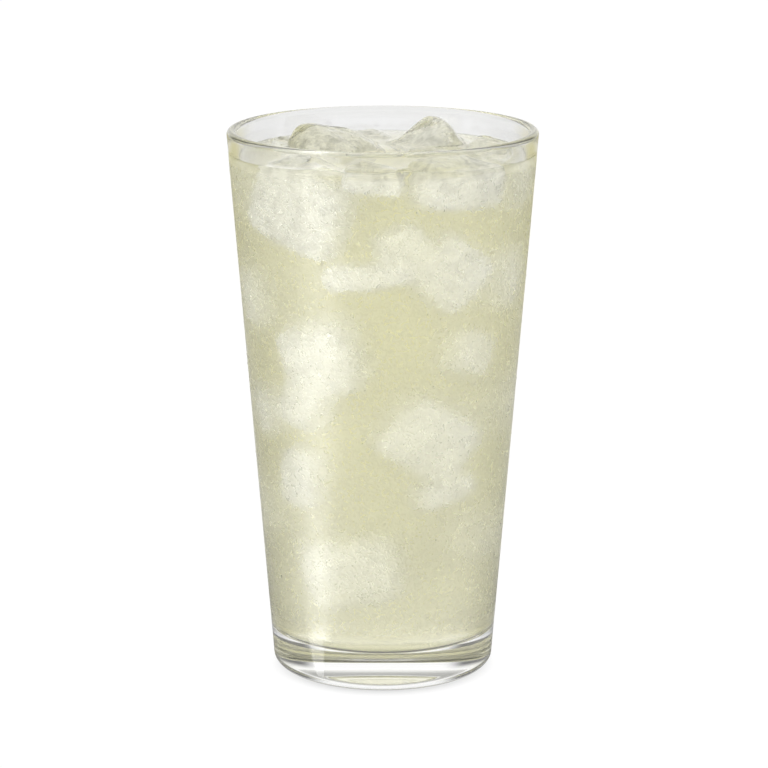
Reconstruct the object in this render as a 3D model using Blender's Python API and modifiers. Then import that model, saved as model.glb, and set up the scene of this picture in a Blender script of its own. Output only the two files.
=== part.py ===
"""A tall tapered tumbler of iced rum cocktail: the glass, the drink and the ice that breaks its surface.

Units are metres, +Z is up, and the origin is the middle of the foot on the table.
"""

import math
import random

import bmesh
import bpy
from mathutils import Euler, Vector

MM = 0.001

# The tumbler's outside
RIM_RADIUS = 44.0 * MM
HEIGHT = 157.0 * MM
LIP_RADIUS = 1.45 * MM
HEEL_WALL_RADIUS = 31.7 * MM
HEEL_DEPTH = 5.1 * MM
HEEL_RISE = 3.9 * MM

# The tumbler's foot and the push-up under it
PUSH_UP_RADIUS = 21.0 * MM
PUSH_UP_RISE = 2.6 * MM

# The tumbler's inside
FLOOR_Z = 11.4 * MM
FLOOR_SAG = 0.8 * MM
WALL_AT_FLOOR = 3.1 * MM
FLOOR_FILLET = 4.0 * MM

# The drink
DRINK_LEVEL = 150.0 * MM
MENISCUS_RISE = 0.9 * MM
MENISCUS_WIDTH = 2.2 * MM

# Clearance between neighbouring solids
GAP = 0.3 * MM

TURN_STEPS = 64
LIP_POINTS = 8
HEEL_POINTS = 6
PUSH_UP_POINTS = 5
FILLET_POINTS = 6
FLOOR_POINTS = 3
MENISCUS_POINTS = 4
AXIS_MERGE = 0.01 * MM

# Each lump of ice at the surface: name, centre in mm, size in mm, tilt in degrees and the seed of its dents
SURFACE_ICE = (
    ("ice_left", (-14.5, 7.5, 141.0), (28.0, 24.0, 29.0), (8, 13, 18), 3),
    ("ice_right", (14.8, 18.0, 143.2), (23.5, 19.5, 23.5), (10, -38, 10), 8),
    ("ice_far_right", (29.2, -0.4, 144.9), (14.0, 17.0, 18.5), (8, 10, -12), 5),
    ("ice_back", (-5.0, 31.0, 143.0), (15.0, 11.0, 16.5), (8, -10, 6), 12),
    ("ice_left_back", (-26.6, 21.6, 143.8), (9.5, 9.0, 15.0), (-8, 10, 38), 6),
    ("ice_front_left", (-20.1, -20.2, 138.2), (30.0, 14.5, 23.5), (-4, 18, -44), 9),
    ("ice_front_middle", (-2.4, -31.6, 148.0), (17.6, 10.0, 7.8), (5, 5, -2), 11),
    ("ice_front_right", (18.7, -24.2, 145.4), (27.5, 14.5, 13.0), (6, 4, 37), 14),
)

# How a lump of ice is melted: the inner rows of its cage, how square it stays, and its dents, in half sizes
CAGE_INNER_ROW = 0.58
SQUARENESS = 4.5
DENT_DEPTH = 0.08
CAGE_CUTS = 2
CAGE_SMOOTHING = 1

COLOURS = {
    # name: (red, green, blue, roughness, transmission)
    "clear_glass": (0.93, 0.96, 0.94, 0.02, 1.0),
    "cloudy_drink": (0.83, 0.81, 0.60, 0.10, 0.6),
    "melting_ice": (0.90, 0.92, 0.88, 0.12, 0.8),
}
GLASS_BEND = 1.5


def clear_scene():
    """Remove every object, so that the script starts from an empty scene."""
    for old in list(bpy.data.objects):
        bpy.data.objects.remove(old)


def new_collection(name):
    """Make a collection and link it to the scene."""
    made = bpy.data.collections.new(name)
    bpy.context.scene.collection.children.link(made)
    return made


def finish(name):
    """Make the material of one finish from its row in COLOURS."""
    red, green, blue, roughness, transmission = COLOURS[name]
    made = bpy.data.materials.new(name)
    made.use_nodes = True
    shader = made.node_tree.nodes["Principled BSDF"]
    shader.inputs["Base Color"].default_value = (red, green, blue, 1.0)
    shader.inputs["Roughness"].default_value = roughness
    shader.inputs["Metallic"].default_value = 0.0
    shader.inputs["Transmission Weight"].default_value = transmission
    shader.inputs["IOR"].default_value = GLASS_BEND
    return made


def arc(centre, radii, start, end, count):
    """Points (r, z) on an elliptic arc from the start angle to the end angle, both in degrees."""
    points = []
    for i in range(count):
        angle = math.radians(start + (end - start) * i / (count - 1))
        points.append((centre[0] + radii[0] * math.cos(angle), centre[1] + radii[1] * math.sin(angle)))
    return points


def outer_radius(z):
    """The outer wall's radius at height z, on the straight line from the heel to the lip."""
    low, high = HEEL_RISE, HEIGHT - LIP_RADIUS
    return HEEL_WALL_RADIUS + (RIM_RADIUS - HEEL_WALL_RADIUS) * (z - low) / (high - low)


def inner_radius(z):
    """The inner wall's radius at height z: the wall thins from the floor up to the lip."""
    share = (z - FLOOR_Z) / (HEIGHT - LIP_RADIUS - FLOOR_Z)
    wall = WALL_AT_FLOOR + (2 * LIP_RADIUS - WALL_AT_FLOOR) * share
    return outer_radius(z) - wall


def floor_line():
    """Points (r, z) of the inside, from the middle of the floor to the top of the fillet at the wall."""
    foot_of_wall = inner_radius(FLOOR_Z + FLOOR_FILLET)
    flat_end = foot_of_wall - FLOOR_FILLET
    line = []
    for i in range(FLOOR_POINTS):
        r = flat_end * i / FLOOR_POINTS
        line.append((r, FLOOR_Z - FLOOR_SAG * (1.0 - (r / flat_end) ** 2)))
    line += arc((flat_end, FLOOR_Z + FLOOR_FILLET), (FLOOR_FILLET, FLOOR_FILLET), -90, 0, FILLET_POINTS)
    return line


def glass_profile():
    """The tumbler's section: the floor, up the inside, over the lip, down the outside and under the foot."""
    lip_centre = (RIM_RADIUS - LIP_RADIUS, HEIGHT - LIP_RADIUS)
    heel_centre = (HEEL_WALL_RADIUS - HEEL_DEPTH, HEEL_RISE)
    line = floor_line()
    line += arc(lip_centre, (LIP_RADIUS, LIP_RADIUS), 180, 0, LIP_POINTS)
    line += arc(heel_centre, (HEEL_DEPTH, HEEL_RISE), 0, -90, HEEL_POINTS)
    for i in range(PUSH_UP_POINTS + 1):
        share = 1.0 - i / PUSH_UP_POINTS
        line.append((PUSH_UP_RADIUS * share, PUSH_UP_RISE * (1.0 - share**2)))
    return line


def drink_profile():
    """The drink's section: from the middle of its surface out over the meniscus, then down the wall to the floor."""
    surface = []
    edge = inner_radius(DRINK_LEVEL) - GAP
    surface.append((0.0, DRINK_LEVEL))
    for i in range(MENISCUS_POINTS):
        share = i / (MENISCUS_POINTS - 1)
        surface.append((edge - MENISCUS_WIDTH * (1.0 - share), DRINK_LEVEL + MENISCUS_RISE * share**2))
    below = []
    for r, z in floor_line():
        inward = r / inner_radius(FLOOR_Z + FLOOR_FILLET)
        below.append((max(r - GAP * inward, 0.0), z + GAP))
    return surface + below[::-1]


def turned(name, profile, material, home):
    """Turn a section about +Z with a Screw modifier.

    The profile runs so that its outer side goes from top to bottom, which keeps the faces pointing out.
    """
    mesh = bpy.data.meshes.new(name)
    mesh.from_pydata([(r, 0.0, z) for r, z in profile], [(i, i + 1) for i in range(len(profile) - 1)], [])
    made = bpy.data.objects.new(name, mesh)
    home.objects.link(made)
    screw = made.modifiers.new("turn", "SCREW")
    screw.axis = "Z"
    screw.angle = math.tau
    screw.steps = TURN_STEPS
    screw.render_steps = TURN_STEPS
    screw.use_merge_vertices = True
    screw.merge_threshold = AXIS_MERGE
    screw.use_smooth_shade = True
    made.data.materials.append(material)
    return made


def melted(corner, draw):
    """Move one point of a unit cube's cage onto a rounded box, with a small random dent."""
    row = Vector([c if abs(c) > CAGE_INNER_ROW else math.copysign(CAGE_INNER_ROW, c) for c in corner])
    reach = sum(abs(c) ** SQUARENESS for c in row) ** (1.0 / SQUARENESS)
    dent = Vector([draw.uniform(-DENT_DEPTH, DENT_DEPTH) for _ in range(3)])
    return row / reach + dent


def ice_lump(name, centre, size, tilt, seed, grow, home):
    """Make a lump of ice from a cube's cage with Subdivision Surface, grown by a clearance if it is a cutter."""
    draw = random.Random(seed)
    cage = bmesh.new()
    bmesh.ops.create_cube(cage, size=2.0)
    bmesh.ops.subdivide_edges(cage, edges=cage.edges[:], cuts=CAGE_CUTS, use_grid_fill=True)
    half = Vector(size) * MM / 2.0
    half += Vector((grow, grow, grow))
    for corner in cage.verts:
        shaped = melted(corner.co, draw)
        corner.co = Vector((shaped.x * half.x, shaped.y * half.y, shaped.z * half.z))
    mesh = bpy.data.meshes.new(name)
    cage.to_mesh(mesh)
    cage.free()
    mesh.shade_smooth()
    made = bpy.data.objects.new(name, mesh)
    made.location = Vector(centre) * MM
    made.rotation_euler = Euler([math.radians(a) for a in tilt])
    home.objects.link(made)
    smooth = made.modifiers.new("melt", "SUBSURF")
    smooth.levels = CAGE_SMOOTHING
    smooth.render_levels = CAGE_SMOOTHING
    return made


def cut_pocket(drink, cutter):
    """Cut the room that one lump of ice takes out of the drink."""
    cutter.hide_render = True
    cutter.display_type = "WIRE"
    pocket = drink.modifiers.new(cutter.name, "BOOLEAN")
    pocket.operation = "DIFFERENCE"
    pocket.solver = "EXACT"
    pocket.object = cutter


def main():
    clear_scene()
    cocktail = new_collection("rum_cocktail")
    cutters = new_collection("cutters")
    clear_glass, cloudy_drink, melting_ice = (finish(name) for name in COLOURS)

    turned("glass", glass_profile(), clear_glass, cocktail)
    drink = turned("drink", drink_profile(), cloudy_drink, cocktail)
    for name, centre, size, tilt, seed in SURFACE_ICE:
        lump = ice_lump(name, centre, size, tilt, seed, 0.0, cocktail)
        lump.data.materials.append(melting_ice)
        cut_pocket(drink, ice_lump(f"room_for_{name}", centre, size, tilt, seed, GAP, cutters))


main()
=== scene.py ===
"""The looks of a glass of rum cocktail: a misted tumbler, a cloudy pale yellow drink and melting ice.

Units are metres, +Z is up, and the origin is the middle of the foot on the table.
"""
import logging
import math
import random
from dataclasses import dataclass
from enum import Enum

import bmesh
import bpy
import numpy as np
from mathutils import Euler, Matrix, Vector, noise
from mathutils.bvhtree import BVHTree


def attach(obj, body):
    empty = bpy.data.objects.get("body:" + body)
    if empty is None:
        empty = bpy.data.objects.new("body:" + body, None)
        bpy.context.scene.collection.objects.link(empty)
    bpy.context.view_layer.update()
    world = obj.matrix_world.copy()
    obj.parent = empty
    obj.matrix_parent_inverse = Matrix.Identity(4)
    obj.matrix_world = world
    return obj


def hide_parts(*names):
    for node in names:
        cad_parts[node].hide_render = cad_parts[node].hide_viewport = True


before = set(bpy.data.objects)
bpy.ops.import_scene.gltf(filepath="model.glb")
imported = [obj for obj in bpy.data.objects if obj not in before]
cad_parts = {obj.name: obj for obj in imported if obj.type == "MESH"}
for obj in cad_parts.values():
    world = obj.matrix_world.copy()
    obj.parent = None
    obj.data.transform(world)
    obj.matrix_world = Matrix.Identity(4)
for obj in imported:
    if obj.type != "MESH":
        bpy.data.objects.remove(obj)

MM = 0.001
LOG = logging.getLogger("rum_cocktail")

Colour = tuple[float, float, float]
Triple = tuple[float, float, float]
Pair = tuple[float, float]
Line = list[Pair]
Socket = bpy.types.NodeSocket

WHITE: Colour = (1.0, 1.0, 1.0)

COARSE, FINE = 3, 4

# Where a Mix node for colours has its factor and its two colours, and where it has its result
MIX_INPUTS, MIX_RESULT = (0, 6, 7), 2


class Slot(Enum):
    """Names for the material slots."""

    GLASS = "clear_glass"
    DRINK = "cloudy_drink"
    ICE = "melting_ice"


class Join(Enum):
    """What a Boolean does with a piece and the others."""

    CUT = "DIFFERENCE"
    FUSE = "UNION"


# Small mesh tools


def arc(centre: Pair, radii: Pair, start: float, end: float, count: int) -> Line:
    """Points on an elliptic arc.

    Args:
        centre: the arc's centre (r, z).
        radii: the half axes along r and z.
        start: the first angle in degrees.
        end: the last angle in degrees.
        count: how many points.

    Returns:
        The points (r, z), from the start angle to the end angle.
    """
    angles = [math.radians(start + (end - start) * i / (count - 1)) for i in range(count)]
    return [(centre[0] + radii[0] * math.cos(a), centre[1] + radii[1] * math.sin(a)) for a in angles]


def revolve(name: str, profile: Line, steps: int) -> bpy.types.Object:
    """Turn a section round +Z into a closed mesh.

    Args:
        name: the new object's name.
        profile: points (r, z); the first and the last lie on the axis.
        steps: faces round the axis.

    Returns:
        The object, linked to the scene. Its vertices are the first pole, then the rings in the
        profile's order, then the last pole.
    """
    angles = np.arange(steps) * (math.tau / steps)
    rings = np.array(profile[1:-1])
    points = np.empty((len(rings), steps, 3))
    points[:, :, 0] = rings[:, :1] * np.cos(angles)
    points[:, :, 1] = rings[:, :1] * np.sin(angles)
    points[:, :, 2] = rings[:, 1:]
    first, last = profile[0], profile[-1]
    verts = [(0.0, 0.0, first[1])] + points.reshape(-1, 3).tolist() + [(0.0, 0.0, last[1])]
    pole = len(verts) - 1
    last_ring = pole - steps
    faces = []
    for i in range(steps):
        j = (i + 1) % steps
        faces.append((0, 1 + i, 1 + j))
        faces.append((pole, last_ring + j, last_ring + i))
        for k in range(len(rings) - 1):
            low, high = 1 + k * steps, 1 + (k + 1) * steps
            faces.append((low + i, high + i, high + j, low + j))
    mesh = bpy.data.meshes.new(name)
    mesh.from_pydata(verts, [], faces)
    work = bmesh.new()
    work.from_mesh(mesh)
    bmesh.ops.recalc_face_normals(work, faces=work.faces[:])
    work.to_mesh(mesh)
    work.free()
    mesh.shade_smooth()
    made = bpy.data.objects.new(name, mesh)
    bpy.context.scene.collection.objects.link(made)
    return made


def apply_modifiers(piece: bpy.types.Object) -> None:
    """Replace a piece's mesh by what its modifiers make of it.

    Args:
        piece: the object; its modifiers are removed.
    """
    graph = bpy.context.evaluated_depsgraph_get()
    mesh = bpy.data.meshes.new_from_object(piece.evaluated_get(graph))
    piece.modifiers.clear()
    piece.data = mesh


def boolean(piece: bpy.types.Object, others: list[bpy.types.Object], how: Join) -> None:
    """Run one Boolean of a piece with several others, and remove the others.

    Args:
        piece: the object that is changed.
        others: the closed meshes that it is cut by or joined with.
        how: cut or join.
    """
    home = bpy.data.collections.new("operands")
    bpy.context.scene.collection.children.link(home)
    for other in others:
        for old in list(other.users_collection):
            old.objects.unlink(other)
        home.objects.link(other)
    step = piece.modifiers.new("boolean", "BOOLEAN")
    step.operation = how.value
    step.solver = "MANIFOLD"
    step.operand_type = "COLLECTION"
    step.collection = home
    apply_modifiers(piece)
    for other in others:
        bpy.data.objects.remove(other)
    bpy.data.collections.remove(home)


def tree_of(piece: bpy.types.Object) -> BVHTree:
    """A search tree of a piece's faces in the row frame.

    Args:
        piece: a mesh object without modifiers.

    Returns:
        The tree.
    """
    verts = [piece.matrix_world @ v.co for v in piece.data.vertices]
    return BVHTree.FromPolygons(verts, [tuple(p.vertices) for p in piece.data.polygons])


# Finishes


class NodeGraph:
    """A material's or a world's node tree, with short calls to add to it."""

    def __init__(self, tree: bpy.types.NodeTree) -> None:
        """Keep the node tree to add to."""
        self.tree = tree

    def add(self, kind: str, **sockets: object) -> bpy.types.Node:
        """Add a node and set its inputs.

        Args:
            kind: the node's type name.
            sockets: input name with _ for a space, and a value or the output to link to it.

        Returns:
            The node.
        """
        node = self.tree.nodes.new(kind)
        for name, value in sockets.items():
            self.feed(node.inputs[name.replace("_", " ")], value)
        return node

    def feed(self, socket: Socket, value: object) -> None:
        """Set an input, or link an output to it.

        Args:
            socket: the input.
            value: a number, a tuple or an output socket.
        """
        if isinstance(value, Socket):
            self.tree.links.new(value, socket)
        else:
            socket.default_value = value

    def math(self, operation: str, first: object, second: object = 0.5) -> Socket:
        """Add a Math node.

        Args:
            operation: the Math node's operation.
            first: its first input.
            second: its second input.

        Returns:
            Its output.
        """
        node = self.tree.nodes.new("ShaderNodeMath")
        node.operation = operation
        self.feed(node.inputs[0], first)
        self.feed(node.inputs[1], second)
        return node.outputs[0]

    def spread(self, value: Socket, low: float, high: float, to_low: object, to_high: object) -> Socket:
        """Map one range of numbers onto another, smoothly and clamped.

        Args:
            value: the number to map.
            low: the range's start.
            high: the range's end.
            to_low: what the start becomes.
            to_high: what the end becomes.

        Returns:
            The mapped number.
        """
        node = self.tree.nodes.new("ShaderNodeMapRange")
        node.interpolation_type = "SMOOTHSTEP"
        self.feed(node.inputs["Value"], value)
        ends = {"From Min": low, "From Max": high, "To Min": to_low, "To Max": to_high}
        for name, number in ends.items():
            self.feed(node.inputs[name], number)
        return node.outputs["Result"]

    def band(self, value: Socket, rise: Pair, fall: Pair) -> Socket:
        """A number that is 1 between two soft edges and 0 beyond them.

        Args:
            value: what it depends on.
            rise: where it goes from 0 to 1.
            fall: where it goes back from 1 to 0.

        Returns:
            The number.
        """
        risen = self.spread(value, *rise, 0.0, 1.0)
        return self.math("MULTIPLY", self.spread(value, *fall, 1.0, 0.0), risen)

    def blend(self, share: object, first: object, second: object) -> Socket:
        """Mix two numbers.

        Args:
            share: how much of the second there is.
            first: the first number.
            second: the second number.

        Returns:
            The mixed number.
        """
        node = self.tree.nodes.new("ShaderNodeMix")
        node.data_type = "FLOAT"
        for name, value in (("Factor", share), ("A", first), ("B", second)):
            self.feed(node.inputs[name], value)
        return node.outputs["Result"]

    def dyed(self, share: Socket, first: Colour, second: Colour) -> Socket:
        """Mix two colours.

        Args:
            share: how much of the second there is.
            first: the first colour.
            second: the second colour.

        Returns:
            The mixed colour.
        """
        node = self.tree.nodes.new("ShaderNodeMix")
        node.data_type = "RGBA"
        for socket, value in zip(MIX_INPUTS, (share, (*first, 1.0), (*second, 1.0))):
            self.feed(node.inputs[socket], value)
        return node.outputs[MIX_RESULT]

    def scaled(self, colour: Colour, level: Socket) -> Socket:
        """A colour made lighter or darker.

        Args:
            colour: the colour.
            level: what it is multiplied by.

        Returns:
            The colour.
        """
        node = self.tree.nodes.new("ShaderNodeVectorMath")
        node.operation = "SCALE"
        self.feed(node.inputs[0], colour)
        self.feed(node.inputs["Scale"], level)
        return node.outputs[0]

    def length(self, x: Socket, y: Socket) -> Socket:
        """The length of the flat vector (x, y)."""
        squares = self.math("ADD", self.math("MULTIPLY", x, x), self.math("MULTIPLY", y, y))
        return self.math("SQRT", squares)

    def place(self) -> Socket:
        """The point's place in the row frame, in metres."""
        return self.add("ShaderNodeTexCoord").outputs["Object"]

    def grain(self, place: Socket, size: float, detail: float = 2.0, crook: float = 0.0) -> Socket:
        """Noise of one size.

        Args:
            place: where the noise is read.
            size: the size of its blotches, in metres.
            detail: how many finer layers it has.
            crook: how crooked its blotches are.

        Returns:
            A number from 0 to 1.
        """
        scale = 1.0 / size
        node = self.add("ShaderNodeTexNoise", Vector=place, Scale=scale, Detail=detail, Distortion=crook)
        return node.outputs["Fac"]

    def darker(self, colour: Colour, share: Socket) -> Socket:
        """A colour of which a share is taken away."""
        return self.scaled(colour, self.math("SUBTRACT", 1.0, share))

    def bump(self, height: Socket, depth: float, strength: float) -> Socket:
        """A normal for a surface of which the height varies by up to a depth."""
        return self.add("ShaderNodeBump", Height=height, Distance=depth, Strength=strength).outputs[0]


def new_material(name: str) -> tuple[bpy.types.Material, NodeGraph, bpy.types.Node]:
    """Make a node material.

    Args:
        name: the material's name.

    Returns:
        The material, its graph and its Principled shader.
    """
    made = bpy.data.materials.new(name)
    made.use_nodes = True
    return made, NodeGraph(made.node_tree), made.node_tree.nodes["Principled BSDF"]


def make_clear(shader: bpy.types.Node, tint: Colour, bend: float) -> None:
    """Let a shader pass light.

    Args:
        shader: a Principled shader.
        tint: the surface's colour.
        bend: index of refraction.
    """
    shader.inputs["Base Color"].default_value = (*tint, 1.0)
    shader.inputs["Transmission Weight"].default_value = 1.0
    shader.inputs["IOR"].default_value = bend


@dataclass(frozen=True)
class Glass:
    """Clear polished glass, and the same glass under a mist of fine water drops.

    Attributes:
        tint: the surface's colour.
        bend: index of refraction.
        clear: roughness with no mist.
        wave: size of the slightly duller patches of the polished glass.
        dull: roughness of the mist.
        worn: roughness between its drops.
        patches: the noise values between which it goes from worn to dull.
        low: height where the mist starts.
        rise: how far it takes to thicken.
        high: height where it ends.
        fall: how far it takes to thin out.
        margin: how far above that the wall still has the misted finish.
        drop: size of the mist's drops.
        crook: how crooked they are.
        relief: how far they stand out.
        drop_edge_shade: how much darker the crooked lines between them are painted, a painted shade of the
            drops' edges.
        drop_edge_shade_width: how wide these are, in noise values.
    """

    tint: Colour = (0.99, 0.992, 0.988)
    bend: float = 1.5
    clear: float = 0.01
    wave: float = 30.0 * MM
    dull: float = 0.38
    worn: float = 0.26
    patches: Pair = (0.35, 0.6)
    low: float = 12.5 * MM
    rise: float = 8.0 * MM
    high: float = 150.8 * MM
    fall: float = 4.0 * MM
    margin: float = 3.0 * MM
    drop: float = 1.8 * MM
    crook: float = 1.2
    relief: float = 0.45 * MM
    drop_edge_shade: float = 0.14
    drop_edge_shade_width: float = 0.07

    def polished(self) -> bpy.types.Material:
        """Build the finish of the inside, the lip and the foot.

        Returns:
            The material.
        """
        made, graph, shader = new_material("polished_glass")
        make_clear(shader, self.tint, self.bend)
        waves = graph.grain(graph.place(), self.wave, 0.0)
        graph.feed(shader.inputs["Roughness"], graph.spread(waves, 0.3, 0.7, self.clear, self.clear * 2))
        return made

    def misted(self) -> bpy.types.Material:
        """Build the finish of the outer wall beside the drink.

        Returns:
            The material.
        """
        made, graph, shader = new_material("misted_glass")
        make_clear(shader, self.tint, self.bend)
        place = graph.place()
        height = graph.add("ShaderNodeSeparateXYZ", Vector=place).outputs["Z"]
        mist = graph.band(height, (self.low, self.low + self.rise), (self.high - self.fall, self.high))
        drops = graph.grain(place, self.drop, 1.0, self.crook)
        worn = graph.spread(drops, *self.patches, self.worn, self.dull)
        graph.feed(shader.inputs["Roughness"], graph.blend(mist, self.clear, worn))
        # painted shade: the crooked lines at the drops' edges are painted darker into the glass's colour
        off = graph.math("ABSOLUTE", graph.math("SUBTRACT", drops, 0.5))
        lines = graph.math("MULTIPLY", graph.spread(off, 0.0, self.drop_edge_shade_width, self.drop_edge_shade, 0.0), mist)
        graph.feed(shader.inputs["Base Color"], graph.darker(self.tint, lines))
        heights = graph.math("MULTIPLY", drops, mist)
        graph.feed(shader.inputs["Normal"], graph.bump(heights, self.relief, 1.0))
        return made


@dataclass(frozen=True)
class CloudyDrink:
    """A cloudy, pale yellow drink.

    Attributes:
        tint: the surface's colour.
        stain: the colour that it absorbs towards.
        stain_depth: absorption per metre.
        haze: the colour of what it scatters.
        haze_depth: scattering per metre.
        forward: how much of that goes on in the light's own direction.
        bend: index of refraction.
        film: size of the patches of its surface that are a little less smooth.
        dull: roughness of these.
    """

    tint: Colour = (0.995, 0.99, 0.95)
    stain: Colour = (0.955, 0.9, 0.05)
    stain_depth: float = 6.9
    haze: Colour = (1.0, 0.998, 0.985)
    haze_depth: float = 36.0
    forward: float = 0.85
    bend: float = 1.34
    film: float = 3.0 * MM
    dull: float = 0.03

    def material(self) -> bpy.types.Material:
        """Build the material.

        Returns:
            The material.
        """
        made, graph, shader = new_material("cloudy_drink")
        make_clear(shader, self.tint, self.bend)
        film = graph.grain(graph.place(), self.film)
        graph.feed(shader.inputs["Roughness"], graph.spread(film, 0.3, 0.7, 0.0, self.dull))
        stain = graph.add("ShaderNodeVolumeAbsorption", Color=(*self.stain, 1.0), Density=self.stain_depth)
        haze = graph.add("ShaderNodeVolumeScatter", Color=(*self.haze, 1.0), Density=self.haze_depth)
        haze.inputs["Anisotropy"].default_value = self.forward
        both = graph.tree.nodes.new("ShaderNodeAddShader")
        graph.feed(both.inputs[0], stain.outputs[0])
        graph.feed(both.inputs[1], haze.outputs[0])
        graph.feed(made.node_tree.nodes["Material Output"].inputs["Volume"], both.outputs[0])
        return made


@dataclass(frozen=True)
class MeltingIce:
    """Wet, half clear ice with dents and fine cracks.

    Attributes:
        tint: the surface's colour.
        bend: index of refraction.
        dent: size of its small dents.
        relief: how deep they are.
        slope: how strongly they tilt the surface.
        patch: size of the patches that are more or less wet.
        smooth: roughness of its wettest places.
        dull: roughness of its most worn places.
        vein: size of its murky veins.
        crook: how crooked they are.
        murk: how dark they are.
        murky: the noise values between which it goes from clear to murky.
        cloud_and_glow: how much white cloudy ice there is in it, which also sets how much painted glow it
            has.
        glowing: the strength of the white light that the cloudy ice gives off of its own, a painted glow.
        clear_above: height above which there is none.
        fade: how far below that it starts to clear.
        cloud_near: depth behind the wall down to which there is most of it.
        cloud_far: depth at which there is none.
        wall_radius: inside radius of the tumbler, carried down to the table.
        wall_slope: how much wider it gets per metre of height.
    """

    tint: Colour = (0.997, 0.999, 0.997)
    bend: float = 1.31
    dent: float = 4.0 * MM
    relief: float = 0.9 * MM
    slope: float = 0.6
    patch: float = 5.0 * MM
    smooth: float = 0.02
    dull: float = 0.06
    vein: float = 4.5 * MM
    crook: float = 1.5
    murk: float = 0.3
    murky: Pair = (0.47, 0.62)
    cloud_and_glow: float = 0.5
    glowing: float = 0.105
    clear_above: float = 150.5 * MM
    fade: float = 3.0 * MM
    cloud_near: float = 3.0 * MM
    cloud_far: float = 24.0 * MM
    wall_radius: float = 28.4 * MM
    wall_slope: float = 0.081

    def material(self) -> bpy.types.Material:
        """Build the material.

        Returns:
            The material.
        """
        made, graph, shader = new_material("melting_ice")
        place = graph.place()
        make_clear(shader, self.tint, self.bend)
        share = graph.spread(graph.grain(place, self.vein, 3.0, self.crook), *self.murky, 0.0, self.murk)
        graph.feed(shader.inputs["Base Color"], graph.darker(self.tint, share))
        cloud_and_glow = self.cloud_and_glow_share(graph, place)
        graph.feed(shader.inputs["Transmission Weight"], graph.math("SUBTRACT", 1.0, cloud_and_glow))
        # painted glow: the cloudy ice gives off white light of its own, though it is no lamp
        shader.inputs["Emission Color"].default_value = (*WHITE, 1.0)
        graph.feed(shader.inputs["Emission Strength"], graph.math("MULTIPLY", cloud_and_glow, self.glowing))
        wet = graph.grain(place, self.patch)
        graph.feed(shader.inputs["Roughness"], graph.spread(wet, 0.4, 0.7, self.smooth, self.dull))
        made.cycles.emission_sampling = "NONE"
        if self.relief > 0.0:
            dents = graph.grain(place, self.dent)
            graph.feed(shader.inputs["Normal"], graph.bump(dents, self.relief, self.slope))
        return made

    def cloud_and_glow_share(self, graph: NodeGraph, place: Socket) -> Socket:
        """How cloudy the ice is, which also sets its painted glow: most close behind the wall, and not at
        all above the drink.

        Args:
            graph: the material's graph.
            place: the point's place.

        Returns:
            The share of cloudy ice, which is also the share of the painted glow.
        """
        parts = graph.add("ShaderNodeSeparateXYZ", Vector=place)
        height = parts.outputs["Z"]
        wall = graph.math("ADD", graph.math("MULTIPLY", height, self.wall_slope), self.wall_radius)
        depth = graph.math("SUBTRACT", wall, graph.length(parts.outputs["X"], parts.outputs["Y"]))
        near = graph.spread(depth, self.cloud_near, self.cloud_far, self.cloud_and_glow, 0.0)
        sunk = graph.spread(height, self.clear_above - self.fade, self.clear_above, 1.0, 0.0)
        return graph.math("MULTIPLY", near, sunk)


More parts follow.
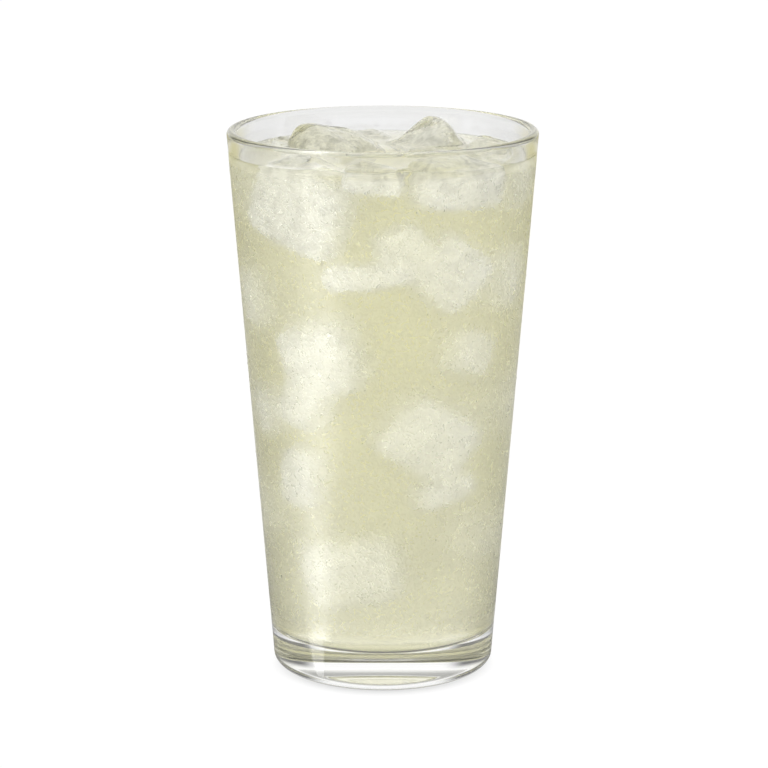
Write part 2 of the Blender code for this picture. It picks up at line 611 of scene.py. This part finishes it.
@dataclass(frozen=True)
class PaleFloor:
    """The studio's pale floor, with a lit panel in it at the front left.

    The camera sees it evenly pale, but for a painted shade round the foot. The light that it sends to the
    object differs from place to place, as it does in the photo's surroundings.

    Attributes:
        tint: its colour.
        dull: its roughness.
        shade: the share of its own light that is left under the foot.
        foot: the foot's radius.
        foot_edge: how far inside and outside that radius the shade fades.
        panel: how much light the panel adds.
        apex: where the panel's wedge starts (x, y).
        turn: the wedge's direction at its start, in radians from -Y towards -X.
        sweep: how far it turns per metre.
        spread: half of its angle, in radians.
        soft: how soft its edges are, as a share of that.
        panel_end: the distances between which it fades out.
        cast: the share of its light that reaches the object from the front.
        cast_behind: the share that reaches it from behind.
        behind: the y between which the one goes over into the other.
        cast_beside: the share that comes from close by at both sides.
        beside_rise: the headings y/r between which that starts, from the front on.
        beside_fall: the headings between which it ends.
        beside_end: the distances between which it ends.
        cast_far: the share that comes from further behind at both sides, which the rim's wall mirrors.
        far_tint: the colour of that share.
        far_rise: the headings between which it starts.
        far_fall: the headings between which it ends.
        far_start: the distances between which it starts.
        cast_foot: the share of all this that is left right beside the foot.
        foot_reach: how far that reaches, in foot radii.
    """

    tint: Colour = (0.02, 0.02, 0.02)
    dull: float = 0.9
    shade: float = 0.5
    foot: float = 30.0 * MM
    foot_edge: Pair = (8.0 * MM, 4.0 * MM)
    panel: float = 3.6
    apex: Pair = (-20.0 * MM, -28.0 * MM)
    turn: float = 1.36
    sweep: float = -1.4
    spread: float = 0.24
    soft: float = 0.3
    panel_end: Pair = (0.4, 0.6)
    cast: float = 1.1
    cast_behind: float = 0.82
    behind: Pair = (0.0, 0.12)
    cast_beside: float = 0.5
    beside_rise: Pair = (-0.2, 0.1)
    beside_fall: Pair = (0.82, 0.94)
    beside_end: Pair = (0.3, 0.45)
    cast_far: float = 0.6
    far_tint: Colour = (1.0, 0.95, 0.58)
    far_rise: Pair = (0.6, 0.8)
    far_fall: Pair = (0.95, 0.99)
    far_start: Pair = (0.42, 0.52)
    cast_foot: float = 0.35
    foot_reach: float = 2.2

    def material(self) -> bpy.types.Material:
        """Build the material.

        Returns:
            The material.
        """
        made, graph, shader = new_material("pale_floor")
        shader.inputs["Base Color"].default_value = (*self.tint, 1.0)
        shader.inputs["Roughness"].default_value = self.dull
        shader.inputs["Specular IOR Level"].default_value = 0.0
        parts = graph.add("ShaderNodeSeparateXYZ", Vector=graph.place())
        x, y = parts.outputs["X"], parts.outputs["Y"]
        middle = graph.length(x, y)
        heading = graph.math("DIVIDE", y, graph.math("MAXIMUM", middle, 1 * MM))
        inner, outer = self.foot - self.foot_edge[0], self.foot + self.foot_edge[1]
        # painted shade: the floor gives off less light under and round the foot, and the camera sees that
        # too
        glow = graph.spread(middle, inner, outer, self.shade, 1.0)
        far = graph.band(heading, self.far_rise, self.far_fall)
        far = graph.math("MULTIPLY", far, graph.spread(middle, *self.far_start, 0.0, 1.0))
        sent = graph.math("MULTIPLY", glow, self.share_sent(graph, y, middle, heading, far))
        sent = graph.math("ADD", sent, self.panel_light(graph, x, y))
        seen = graph.add("ShaderNodeLightPath").outputs["Is Camera Ray"]
        graph.feed(shader.inputs["Emission Strength"], graph.blend(seen, sent, glow))
        dye = graph.math("MULTIPLY", far, graph.math("SUBTRACT", 1.0, seen))
        graph.feed(shader.inputs["Emission Color"], graph.dyed(dye, WHITE, self.far_tint))
        made.cycles.emission_sampling = "NONE"
        return made

    def share_sent(
        self, graph: NodeGraph, y: Socket, middle: Socket, heading: Socket, far: Socket
    ) -> Socket:
        """The share of the floor's light that reaches the object.

        Args:
            graph: the material's graph.
            y: the point's place along Y.
            middle: its distance from the object's axis.
            heading: its direction from there, as y/r.
            far: how much it belongs to the far floor at both sides.

        Returns:
            The share.
        """
        share = graph.spread(y, *self.behind, self.cast, self.cast_behind)
        beside = graph.band(heading, self.beside_rise, self.beside_fall)
        beside = graph.math("MULTIPLY", beside, graph.spread(middle, *self.beside_end, 1.0, 0.0))
        share = graph.blend(beside, share, self.cast_beside)
        share = graph.blend(far, share, self.cast_far)
        foot = graph.spread(middle, self.foot, self.foot * self.foot_reach, self.cast_foot, 1.0)
        return graph.math("MULTIPLY", share, foot)

    def panel_light(self, graph: NodeGraph, x: Socket, y: Socket) -> Socket:
        """The light of the panel, a wedge that bends as it gets further away.

        Args:
            graph: the material's graph.
            x: the point's place along X.
            y: its place along Y.

        Returns:
            How much light it adds.
        """
        left, ahead = graph.math("SUBTRACT", self.apex[0], x), graph.math("SUBTRACT", self.apex[1], y)
        away = graph.length(left, ahead)
        line = graph.math("ADD", graph.math("MULTIPLY", away, self.sweep), self.turn)
        off = graph.math("ABSOLUTE", graph.math("SUBTRACT", graph.math("ARCTAN2", left, ahead), line))
        full, none = self.spread * (1.0 - self.soft), self.spread * (1.0 + self.soft)
        inside = graph.spread(off, full, none, 1.0, 0.0)
        near = graph.spread(away, *self.panel_end, 1.0, 0.0)
        return graph.math("MULTIPLY", graph.math("MULTIPLY", inside, near), self.panel)


@dataclass(frozen=True)
class WaterBead:
    """Clear water in small beads.

    Attributes:
        tint: its colour.
        bend: index of refraction.
        film: size of the patches that are a little less smooth.
        dull: roughness of these.
    """

    tint: Colour = (0.99, 0.995, 0.99)
    bend: float = 1.33
    film: float = 4.0 * MM
    dull: float = 0.06

    def material(self) -> bpy.types.Material:
        """Build the material.

        Returns:
            The material.
        """
        made, graph, shader = new_material("water_bead")
        make_clear(shader, self.tint, self.bend)
        film = graph.grain(graph.place(), self.film)
        graph.feed(shader.inputs["Roughness"], graph.spread(film, 0.4, 0.6, 0.0, self.dull))
        return made


# The tumbler


@dataclass(frozen=True)
class Tumbler:
    """The conical tumbler.

    Attributes:
        rim_radius: outside radius at the rim.
        height: height of the rim.
        lip_radius: radius of the rounded lip.
        heel_wall_radius: outside radius where the wall meets the heel.
        heel_depth: how far the heel's rounding reaches inwards.
        heel_rise: how far it reaches upwards.
        push_up_radius: radius of the hollow under the foot.
        push_up_rise: its height.
        floor_z: height of the inside floor at its edge.
        floor_sag: how much lower the floor's middle lies.
        wall_at_floor: thickness of the wall at the floor.
        fillet: radius of the inside corner.
        lip_join: how far under the lip's middle the inside wall ends.
        skin: depth to which a face counts as part of the outside.
        floor_points: points along the inside floor.
        fillet_points: points along its corner.
        wall_points: points up the inside wall.
        lip_points: points over the lip.
        outside_points: points down the outside.
        heel_points: points round the heel.
        foot_points: points along the push-up.
        steps: faces round the axis.
    """

    rim_radius: float = 44.0 * MM
    height: float = 157.0 * MM
    lip_radius: float = 1.45 * MM
    heel_wall_radius: float = 31.7 * MM
    heel_depth: float = 5.1 * MM
    heel_rise: float = 3.9 * MM
    push_up_radius: float = 21.0 * MM
    push_up_rise: float = 2.6 * MM
    floor_z: float = 11.4 * MM
    floor_sag: float = 0.8 * MM
    wall_at_floor: float = 3.1 * MM
    fillet: float = 4.0 * MM
    lip_join: float = 0.5 * MM
    skin: float = 0.5 * MM
    floor_points: int = 12
    fillet_points: int = 14
    wall_points: int = 40
    lip_points: int = 24
    outside_points: int = 60
    heel_points: int = 16
    foot_points: int = 24
    steps: int = 256

    def outer_radius(self, z: float) -> float:
        """The outer wall's radius at a height.

        Args:
            z: the height.

        Returns:
            The radius on the straight line from the heel to the lip.
        """
        low, high = self.heel_rise, self.height - self.lip_radius
        flare = self.rim_radius - self.heel_wall_radius
        return self.heel_wall_radius + flare * (z - low) / (high - low)

    def inner_radius(self, z: float) -> float:
        """The inner wall's radius at a height.

        Args:
            z: the height.

        Returns:
            The radius; the wall thins from the floor up to the lip.
        """
        share = (z - self.floor_z) / (self.height - self.lip_radius - self.floor_z)
        wall = self.wall_at_floor + (2 * self.lip_radius - self.wall_at_floor) * share
        return self.outer_radius(z) - wall

    def inside(self, reach: float = 0.0, top: float | None = None) -> Line:
        """The inside's section, from the middle of the floor up the wall.

        Args:
            reach: how far the line is moved into the glass.
            top: the height where the line ends, or None to end it at the fillet.

        Returns:
            Points (r, z).
        """
        foot = self.inner_radius(self.floor_z + self.fillet)
        flat = foot - self.fillet
        line: Line = []
        for i in range(self.floor_points):
            r = flat * i / self.floor_points
            line.append((r, self.floor_z - self.floor_sag * (1.0 - (r / flat) ** 2) - reach))
        corner = self.fillet + reach
        low = self.floor_z + self.fillet
        line += arc((flat, low), (corner, corner), -90, 0, self.fillet_points)
        if top is not None:
            for i in range(1, self.wall_points + 1):
                z = low + (top - low) * i / self.wall_points
                line.append((self.inner_radius(z) + reach, z))
        return line

    def build(self, glass: Glass) -> bpy.types.Object:
        """Make the tumbler.

        Args:
            glass: its finishes.

        Returns:
            The piece.
        """
        lip = (self.rim_radius - self.lip_radius, self.height - self.lip_radius)
        heel = (self.heel_wall_radius - self.heel_depth, self.heel_rise)
        line = self.inside(top=lip[1] - self.lip_join)
        line += arc(lip, (self.lip_radius, self.lip_radius), 180, 0, self.lip_points)
        for i in range(1, self.outside_points):
            z = lip[1] + (self.heel_rise - lip[1]) * i / self.outside_points
            line.append((self.outer_radius(z), z))
        line += arc(heel, (self.heel_depth, self.heel_rise), 0, -90, self.heel_points)
        for i in range(self.foot_points + 1):
            share = 1.0 - i / self.foot_points
            line.append((self.push_up_radius * share, self.push_up_rise * (1.0 - share**2)))
        piece = revolve("tumbler", line, self.steps)
        piece.data.materials.append(glass.polished())
        piece.data.materials.append(glass.misted())
        for face in piece.data.polygons:
            z = face.center.z
            outside = math.hypot(face.center.x, face.center.y) > self.outer_radius(z) - self.skin
            if outside and glass.low < z < glass.high + glass.margin:
                face.material_index = 1
        return piece


@dataclass(frozen=True)
class Condensation:
    """The beads of water on the outside of the tumbler, beside the drink.

    Attributes:
        count: how many there are.
        low: height of the lowest.
        high: height of the highest.
        crowding: power of their heights' spread; below 1 there are more of them high up.
        smallest: radius of the smallest.
        largest: radius of the largest.
        fineness: power of their radii's spread; above 1 most of them are small.
        bulge: the range of their height, in their own radii.
        shoulder: the radius and the height of their upper ring, as shares.
        sides: faces round each bead.
        sunk: how far each reaches into the glass.
        seed: the seed of their places.
    """

    count: int = 700
    low: float = 14.0 * MM
    high: float = 148.0 * MM
    crowding: float = 0.85
    smallest: float = 0.16 * MM
    largest: float = 0.4 * MM
    fineness: int = 4
    bulge: Pair = (0.45, 0.75)
    shoulder: Pair = (0.72, 0.62)
    sides: int = 7
    sunk: float = 0.02 * MM
    seed: int = 5

    def build(self, tumbler: Tumbler, material: bpy.types.Material) -> bpy.types.Object:
        """Make all beads as one mesh.

        Args:
            tumbler: what they sit on.
            material: their finish.

        Returns:
            The piece.
        """
        draw = np.random.default_rng(self.seed)
        turn = draw.uniform(0.0, math.tau, self.count)
        height = self.low + (self.high - self.low) * draw.uniform(0.0, 1.0, self.count) ** self.crowding
        spread = draw.uniform(0.0, 1.0, self.count) ** self.fineness
        size = self.smallest + (self.largest - self.smallest) * spread
        bulge = size * draw.uniform(*self.bulge, self.count)
        radius = np.array([tumbler.outer_radius(z) for z in height])
        out = np.stack([np.cos(turn), np.sin(turn), np.zeros(self.count)], 1)
        along = np.stack([-np.sin(turn), np.cos(turn), np.zeros(self.count)], 1)
        up = np.array([0.0, 0.0, 1.0])
        foot = out * radius[:, None] + up * height[:, None]
        share, lift = self.shoulder
        rings = []
        for reach, rise in ((size, np.full(self.count, -self.sunk)), (size * share, bulge * lift)):
            for angle in np.arange(self.sides) * (math.tau / self.sides):
                level = along * (reach * math.cos(angle))[:, None]
                tall = up * (reach * math.sin(angle))[:, None]
                rings.append(foot + (level + tall) + out * rise[:, None])
        rings.append(foot + out * bulge[:, None])
        points = np.stack(rings, 1).reshape(-1, 3)
        return self.join(points, material)

    def join(self, points: np.ndarray, material: bpy.types.Material) -> bpy.types.Object:
        """Turn the beads' points into one mesh.

        Args:
            points: for each bead its lower ring, its upper ring and its top.
            material: their finish.

        Returns:
            The piece.
        """
        sides, stride = self.sides, 2 * self.sides + 1
        shape = [tuple(range(sides))[::-1]]
        for i in range(sides):
            j = (i + 1) % sides
            shape.append((i, j, sides + j, sides + i))
            shape.append((sides + i, sides + j, 2 * sides))
        faces = [tuple(k + bead * stride for k in face) for bead in range(self.count) for face in shape]
        mesh = bpy.data.meshes.new("condensation")
        mesh.from_pydata(points.tolist(), [], faces)
        mesh.shade_smooth()
        mesh.materials.append(material)
        made = bpy.data.objects.new("condensation", mesh)
        bpy.context.scene.collection.objects.link(made)
        return made


# The ice


@dataclass(frozen=True)
class IceLump:
    """One melting lump of ice.

    Attributes:
        name: its name.
        centre: its middle, in mm.
        size: its three sizes, in mm.
        tilt: its turn about X, Y and Z, in degrees.
        seed: the seed of its dents.
        inner_row: where the inner rows of its cage lie, in half sizes.
        squareness: how square it stays.
        dent: how deep its dents are, in half sizes.
        swell: how deep its melted swells are.
        swell_size: how wide they are.
        ripple: how deep its finer ripples are.
        ripple_size: how wide they are.
        seed_step: how far the noise moves from one seed to the next.
    """

    name: str
    centre: Triple
    size: Triple
    tilt: Triple
    seed: int

    inner_row: float = 0.58
    squareness: float = 4.5
    dent: float = 0.08
    swell: float = 0.45 * MM
    swell_size: float = 7.0 * MM
    ripple: float = 0.12 * MM
    ripple_size: float = 2.4 * MM
    seed_step: Triple = (7.3, 3.1, 5.7)

    def build(self, levels: int, shrink: float = 0.0) -> bpy.types.Object:
        """Make the lump.

        Args:
            levels: how often its cage is subdivided.
            shrink: how far its surface is moved inwards, which a cutter needs.

        Returns:
            The mesh object, with its place in its vertices.
        """
        draw = random.Random(self.seed)
        cage = bmesh.new()
        bmesh.ops.create_cube(cage, size=2.0)
        bmesh.ops.subdivide_edges(cage, edges=cage.edges[:], cuts=2, use_grid_fill=True)
        half = Vector(self.size) * MM / 2.0
        for corner in cage.verts:
            shaped = self.melted(corner.co, draw)
            corner.co = Vector((shaped.x * half.x, shaped.y * half.y, shaped.z * half.z))
        mesh = bpy.data.meshes.new(self.name)
        cage.to_mesh(mesh)
        cage.free()
        made = bpy.data.objects.new(self.name, mesh)
        bpy.context.scene.collection.objects.link(made)
        smooth = made.modifiers.new("melt", "SUBSURF")
        smooth.levels = levels
        apply_modifiers(made)
        turn = Euler([math.radians(a) for a in self.tilt]).to_matrix()
        self.roughen(made.data, shrink)
        for v in made.data.vertices:
            v.co = turn @ v.co + Vector(self.centre) * MM
        made.data.shade_smooth()
        return made

    def melted(self, corner: Vector, draw: random.Random) -> Vector:
        """Move one point of a unit cube's cage onto a rounded box, with a small dent.

        Args:
            corner: the cage's point.
            draw: the lump's random numbers.

        Returns:
            The moved point, in half sizes.
        """
        row = Vector([math.copysign(max(abs(c), self.inner_row), c) for c in corner])
        reach = sum(abs(c) ** self.squareness for c in row) ** (1.0 / self.squareness)
        return row / reach + Vector([draw.uniform(-self.dent, self.dent) for _ in range(3)])

    def roughen(self, mesh: bpy.types.Mesh, shrink: float) -> None:
        """Give the surface its melted swells and ripples.

        Args:
            mesh: the lump's mesh.
            shrink: how far it is moved inwards as well.
        """
        shift = Vector([self.seed * step for step in self.seed_step])
        normals = [v.normal.copy() for v in mesh.vertices]
        for v, normal in zip(mesh.vertices, normals):
            swell = noise.noise(v.co / self.swell_size + shift) * self.swell
            ripple = noise.noise(v.co / self.ripple_size - shift) * self.ripple
            v.co += normal * (swell + ripple - shrink)


SURFACE_ICE = (
    IceLump("ice_left", (-14.5, 7.5, 141.0), (28.0, 24.0, 29.0), (8, 13, 18), 3),
    IceLump("ice_right", (14.8, 18.0, 143.2), (23.5, 19.5, 23.5), (10, -38, 10), 8),
    IceLump("ice_far_right", (29.2, -0.4, 144.9), (14.0, 17.0, 18.5), (8, 10, -12), 5),
    IceLump("ice_back", (-5.0, 31.0, 143.0), (15.0, 11.0, 16.5), (8, -10, 6), 12),
    IceLump("ice_left_back", (-26.6, 21.6, 143.8), (9.5, 9.0, 15.0), (-8, 10, 38), 6),
    IceLump("ice_front_left", (-20.1, -20.2, 138.2), (30.0, 14.5, 23.5), (-4, 18, -44), 9),
    IceLump("ice_front_middle", (-2.4, -31.6, 148.0), (17.6, 10.0, 7.8), (5, 5, -2), 11),
    IceLump("ice_front_right", (18.7, -24.2, 145.4), (27.5, 14.5, 13.0), (6, 4, 37), 14),
)


@dataclass(frozen=True)
class SunkLump(IceLump):
    """A lump below the surface, more melted and more uneven.

    Attributes:
        squareness: how square it stays.
        dent: how deep its dents are, in half sizes.
        swell: how deep its melted swells are.
        ripple: how deep its finer ripples are.
    """

    squareness: float = 3.4
    dent: float = 0.10
    swell: float = 0.7 * MM
    ripple: float = 0.0


SUNK_ICE = (
    SunkLump("upper_wedge_top", (4.8, -26.6, 129.0), (15.0, 12.0, 14.0), (8, -24, 8), 20),
    SunkLump("upper_wedge", (15.5, -20.8, 121.6), (22.0, 18.0, 22.0), (12, 42, 32), 21),
    SunkLump("upper_wedge_tongue", (-3.0, -29.6, 121.4), (27.0, 9.0, 8.5), (0, -7, -4), 22),
    SunkLump("middle_left", (-14.2, -19.6, 97.0), (25.0, 18.0, 24.5), (10, -16, -34), 23),
    SunkLump("middle_left_foot", (-18.6, -16.6, 82.6), (15.0, 14.0, 15.0), (0, 20, -50), 24),
    SunkLump("middle_right", (19.5, -14.5, 97.0), (17.0, 14.0, 14.0), (-8, 14, 50), 25),
    SunkLump("lower_right", (10.4, -17.2, 73.5), (29.0, 18.5, 24.0), (14, 36, 24), 26),
    SunkLump("lower_right_foot", (14.6, -16.6, 57.4), (19.0, 13.0, 9.0), (-6, -12, 38), 27),
    SunkLump("lower_left", (-19.2, -15.4, 61.0), (13.0, 12.0, 20.0), (8, 6, -45), 28),
    SunkLump("left_side", (-26.5, -4.0, 78.0), (11.0, 15.0, 15.0), (10, -8, -8), 29),
    SunkLump("bottom", (-6.5, -12.0, 34.0), (29.0, 19.0, 24.0), (12, -14, -20), 30),
    SunkLump("back_upper_right", (14.0, 15.0, 111.0), (24.0, 22.0, 23.0), (14, 12, 40), 31),
    SunkLump("back_upper_left", (-15.5, 15.0, 109.0), (24.0, 22.0, 22.0), (10, -16, 12), 32),
    SunkLump("back_middle", (-2.0, 19.5, 85.0), (24.0, 19.0, 23.0), (-16, 28, -12), 33),
    SunkLump("right_middle", (20.0, 8.0, 78.0), (20.0, 19.0, 21.0), (10, -20, 60), 34),
    SunkLump("back_lower", (4.0, 17.5, 56.0), (23.0, 18.0, 21.0), (10, 20, 14), 35),
    SunkLump("left_lower", (-17.5, 8.0, 47.0), (16.0, 18.0, 19.0), (-12, 18, 20), 36),
    SunkLump("right_lower", (16.5, 4.0, 40.0), (16.0, 19.0, 20.0), (8, -10, -16), 37),
    SunkLump("back_bottom", (-1.0, 15.5, 29.0), (21.0, 15.0, 17.0), (12, -18, -20), 38),
    SunkLump("right_side", (27.0, -3.0, 117.0), (14.0, 19.0, 18.0), (12, 10, 8), 39),
    SunkLump("left_side_upper", (-28.5, 1.0, 110.0), (12.0, 20.0, 19.0), (-6, -10, -6), 40),
)


# The drink


@dataclass(frozen=True)
class Drink:
    """The drink in the tumbler.

    Attributes:
        level: height of its surface.
        reach: how far it reaches into the glass, so that no air gap shows.
        climb: how far its edge climbs the glass at the front.
        back_share: the share of that at the back.
        climb_width: how far from the glass it starts to climb.
        cusp_climb: how much further it climbs between two lumps at the front.
        cusps: where it does, as x in mm at the front wall.
        cusp_width: how wide such a place is.
        ice_climb: how far it climbs the ice.
        ice_climb_width: how far from the ice it starts to climb.
        ripple: how uneven its surface is.
        ripple_size: how wide its ripples are.
        overlap: how far the ice reaches into the drink.
        edge: height of the straight edge that joins the surface to the wall.
        rings: rings of faces in the surface.
        crowding: power of their spread; above 1 they lie closer at the wall.
        steps: faces round the axis.
    """

    level: float = 150.0 * MM
    reach: float = 0.15 * MM
    climb: float = 0.8 * MM
    back_share: float = 0.1
    climb_width: float = 1.3 * MM
    cusp_climb: float = 2.0 * MM
    cusps: tuple[float, ...] = (-15.5, 5.6)
    cusp_width: float = 4.0 * MM
    ice_climb: float = 0.7 * MM
    ice_climb_width: float = 1.1 * MM
    ripple: float = 0.08 * MM
    ripple_size: float = 9.0 * MM
    overlap: float = 0.2 * MM
    edge: float = 0.5 * MM
    rings: int = 72
    crowding: float = 1.25
    steps: int = 256

    def build(
        self, tumbler: Tumbler, ice: list[IceLump], material: bpy.types.Material
    ) -> bpy.types.Object:
        """Make the drink, with a hollow for every lump of ice.

        Args:
            tumbler: what holds it.
            ice: the lumps in it.
            material: its finish.

        Returns:
            The piece.
        """
        below = tumbler.inside(self.reach, self.level - self.edge)
        radius = tumbler.inner_radius(self.level) + self.reach
        shares = [(i / self.rings) ** self.crowding for i in range(self.rings + 1)]
        surface = [(radius * (1.0 - share), self.level) for share in shares]
        piece = revolve("rum_cocktail_drink", below + surface, self.steps)
        self.shape_surface(piece, radius, [lump for lump in ice if lump in SURFACE_ICE])
        boolean(piece, [lump.build(COARSE, self.overlap) for lump in ice], Join.CUT)
        piece.data.materials.clear()
        piece.data.materials.append(material)
        piece.data.shade_smooth()
        return piece

    def shape_surface(self, piece: bpy.types.Object, radius: float, lumps: list[IceLump]) -> None:
        """Raise the surface where it climbs the glass and the ice.

        Args:
            piece: the drink before its hollows are cut.
            radius: the surface's radius.
            lumps: the ice at the surface.
        """
        solids = [lump.build(COARSE) for lump in lumps]
        trees = [tree_of(solid) for solid in solids]
        for v in piece.data.vertices:
            if v.co.z < self.level - 0.1 * MM:
                continue
            r = math.hypot(v.co.x, v.co.y)
            climb = self.climb if v.co.y < 0.0 else self.climb * self.back_share
            climb += self.cusp_climb * self.cusp_share(v.co)
            rise = climb * math.exp(-(radius - r) / self.climb_width)
            near = min(tree.find_nearest(v.co)[3] for tree in trees)
            rise += self.ice_climb * math.exp(-near / self.ice_climb_width)
            rise += self.ripple * noise.noise(v.co / self.ripple_size)
            v.co.z += rise
        for solid in solids:
            bpy.data.objects.remove(solid)

    def cusp_share(self, point: Vector) -> float:
        """How much of the cusps' climb there is at a point.

        Args:
            point: a point of the surface.

        Returns:
            A number from 0 to 1.
        """
        if point.y > 0.0:
            return 0.0
        near = min(abs(point.x - x * MM) for x in self.cusps)
        return math.exp(-near / self.cusp_width)


# The studio


@dataclass(frozen=True)
class Studio:
    """The plain studio: a pale floor, soft light and the camera.

    Attributes:
        distance: from the camera to the aim.
        elevation: of the camera above the aim, in degrees.
        tilt: how far the camera looks above the aim, in degrees.
        pan: how far it looks to the aim's right, in degrees.
        aim: height of the aim on the axis.
        lens: focal length in mm.
        sky: brightness of the surroundings behind the object.
        sides: their brightness left and right.
        front: their brightness behind the camera.
        zenith: their brightness overhead.
        strip: brightness of the tall light at the left.
        strip_azimuth: where it stands, in degrees from +Y towards +X.
        strip_width: how wide it is, in degrees.
        strip_core: the part of its width that is fully bright, as a share.
        backdrop: the brightness that the camera itself sees.
        ahead: the headings (cosine from +Y) between which front goes over into sky.
        beside_rise: the headings between which the sides start, from the front on.
        beside_fall: the headings between which they end.
        overhead: the heights (sine) between which all this goes over into the zenith.
        floor_radius: radius of the floor.
        floor_steps: its corners.
        floor_gap: how far it lies below the foot.
    """

    distance: float = 0.950
    elevation: float = 13.825
    tilt: float = 0.466
    pan: float = 0.022
    aim: float = 0.075
    lens: float = 155.0
    sky: float = 1.0
    sides: float = 0.15
    front: float = 1.5
    zenith: float = 1.15
    strip: float = 1.5
    strip_azimuth: float = -118.0
    strip_width: float = 30.0
    strip_core: float = 0.4
    backdrop: float = 1.1
    ahead: Pair = (-0.3, 0.4)
    beside_rise: Pair = (0.0, 0.2)
    beside_fall: Pair = (0.82, 0.94)
    overhead: Pair = (0.3, 0.6)
    floor_radius: float = 6.0
    floor_steps: int = 96
    floor_gap: float = 0.15 * MM

    def camera(self) -> None:
        """Place the camera at the photo's viewing angle."""
        data = bpy.data.cameras.new("camera")
        data.lens = self.lens
        data.sensor_width = 36.0
        data.sensor_fit = "HORIZONTAL"
        data.clip_start, data.clip_end = 0.05, 50.0
        made = bpy.data.objects.new("camera", data)
        up = math.radians(self.elevation)
        made.location = (0.0, -self.distance * math.cos(up), self.aim + self.distance * math.sin(up))
        down = math.radians(self.elevation - self.tilt)
        made.rotation_euler = (math.pi / 2 - down, 0.0, -math.radians(self.pan))
        bpy.context.scene.collection.objects.link(made)
        bpy.context.scene.camera = made

    def surroundings(self) -> None:
        """Light the scene from all round, with dark sides and a tall light at the left."""
        world = bpy.data.worlds.new("studio")
        bpy.context.scene.world = world
        world.use_nodes = True
        graph = NodeGraph(world.node_tree)
        background = world.node_tree.nodes["Background"]
        way = graph.add("ShaderNodeTexCoord").outputs["Generated"]
        parts = graph.add("ShaderNodeSeparateXYZ", Vector=way)
        flat = graph.add("ShaderNodeCombineXYZ", X=parts.outputs["X"], Y=parts.outputs["Y"], Z=0.0)
        heading = graph.tree.nodes.new("ShaderNodeVectorMath")
        heading.operation = "NORMALIZE"
        graph.feed(heading.inputs[0], flat.outputs[0])
        ahead = graph.add("ShaderNodeSeparateXYZ", Vector=heading.outputs[0]).outputs["Y"]
        ring = graph.spread(ahead, *self.ahead, self.front, self.sky)
        beside = graph.band(ahead, self.beside_rise, self.beside_fall)
        ring = graph.blend(beside, ring, self.sides)
        strip = graph.tree.nodes.new("ShaderNodeVectorMath")
        strip.operation = "DOT_PRODUCT"
        graph.feed(strip.inputs[0], heading.outputs[0])
        turn = math.radians(self.strip_azimuth)
        graph.feed(strip.inputs[1], (math.sin(turn), math.cos(turn), 0.0))
        edge = math.cos(math.radians(self.strip_width / 2))
        core = math.cos(math.radians(self.strip_width / 2 * self.strip_core))
        ring = graph.blend(graph.spread(strip.outputs["Value"], edge, core, 0.0, 1.0), ring, self.strip)
        level = graph.blend(graph.spread(parts.outputs["Z"], *self.overhead, 0.0, 1.0), ring, self.zenith)
        seen = graph.add("ShaderNodeLightPath").outputs["Is Camera Ray"]
        graph.feed(background.inputs["Strength"], graph.blend(seen, level, self.backdrop))
        background.inputs["Color"].default_value = (*WHITE, 1.0)
        world.cycles.sampling_method = "NONE"

    def floor(self) -> None:
        """Lay the floor, a wide disc just under the foot."""
        mesh = bpy.data.meshes.new("floor")
        work = bmesh.new()
        bmesh.ops.create_circle(work, cap_ends=True, radius=self.floor_radius, segments=self.floor_steps)
        work.to_mesh(mesh)
        work.free()
        made = bpy.data.objects.new("floor", mesh)
        made.location.z = -self.floor_gap
        made.data.materials.append(PaleFloor().material())
        bpy.context.scene.collection.objects.link(made)

    def build(self) -> None:
        """Make the camera, the light and the floor, and set how light is traced and shown."""
        self.camera()
        self.surroundings()
        self.floor()
        scene = bpy.context.scene
        scene.view_settings.view_transform = "Standard"
        scene.view_settings.look = "None"
        scene.cycles.max_bounces = 28
        scene.cycles.transmission_bounces = 28
        scene.cycles.glossy_bounces = 8
        scene.cycles.diffuse_bounces = 3
        scene.cycles.volume_bounces = 12
        scene.cycles.transparent_max_bounces = 16
        scene.cycles.sample_clamp_indirect = 4.0
        scene.cycles.blur_glossy = 0.0


# The whole


def keep(piece: bpy.types.Object, nodes: list[str]) -> None:
    """Tie a piece to the frame and say what it stands for.

    Args:
        piece: the piece.
        nodes: the CAD nodes it replaces.
    """
    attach(piece, "root")
    if nodes:
        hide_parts(*nodes)
    LOG.info("%s: %d faces, stands for %s", piece.name, len(piece.data.polygons), nodes or "nothing")


def main() -> None:
    """Build the pieces in order and report each one."""
    logging.basicConfig(level=logging.INFO, format="%(name)s: %(message)s")
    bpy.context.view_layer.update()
    tumbler = Tumbler()
    keep(tumbler.build(Glass()), ["glass"])
    keep(Condensation().build(tumbler, WaterBead().material()), [])

    wet_ice = MeltingIce().material()
    drink = Drink().build(tumbler, [*SURFACE_ICE, *SUNK_ICE], CloudyDrink().material())
    keep(drink, ["drink"])
    for lump in SURFACE_ICE:
        piece = lump.build(FINE)
        piece.name = lump.name.replace("ice", "lump")
        piece.data.materials.append(wet_ice)
        keep(piece, [lump.name])
    sunk, *others = [lump.build(COARSE) for lump in SUNK_ICE]
    boolean(sunk, others, Join.FUSE)
    sunk.name = "sunk_ice"
    sunk.data.materials.clear()
    sunk.data.materials.append(MeltingIce(relief=0.0, smooth=0.18, dull=0.32, murk=0.2).material())
    sunk.data.shade_smooth()
    keep(sunk, [])
    Studio().build()


if __name__ == "__main__":
    main()
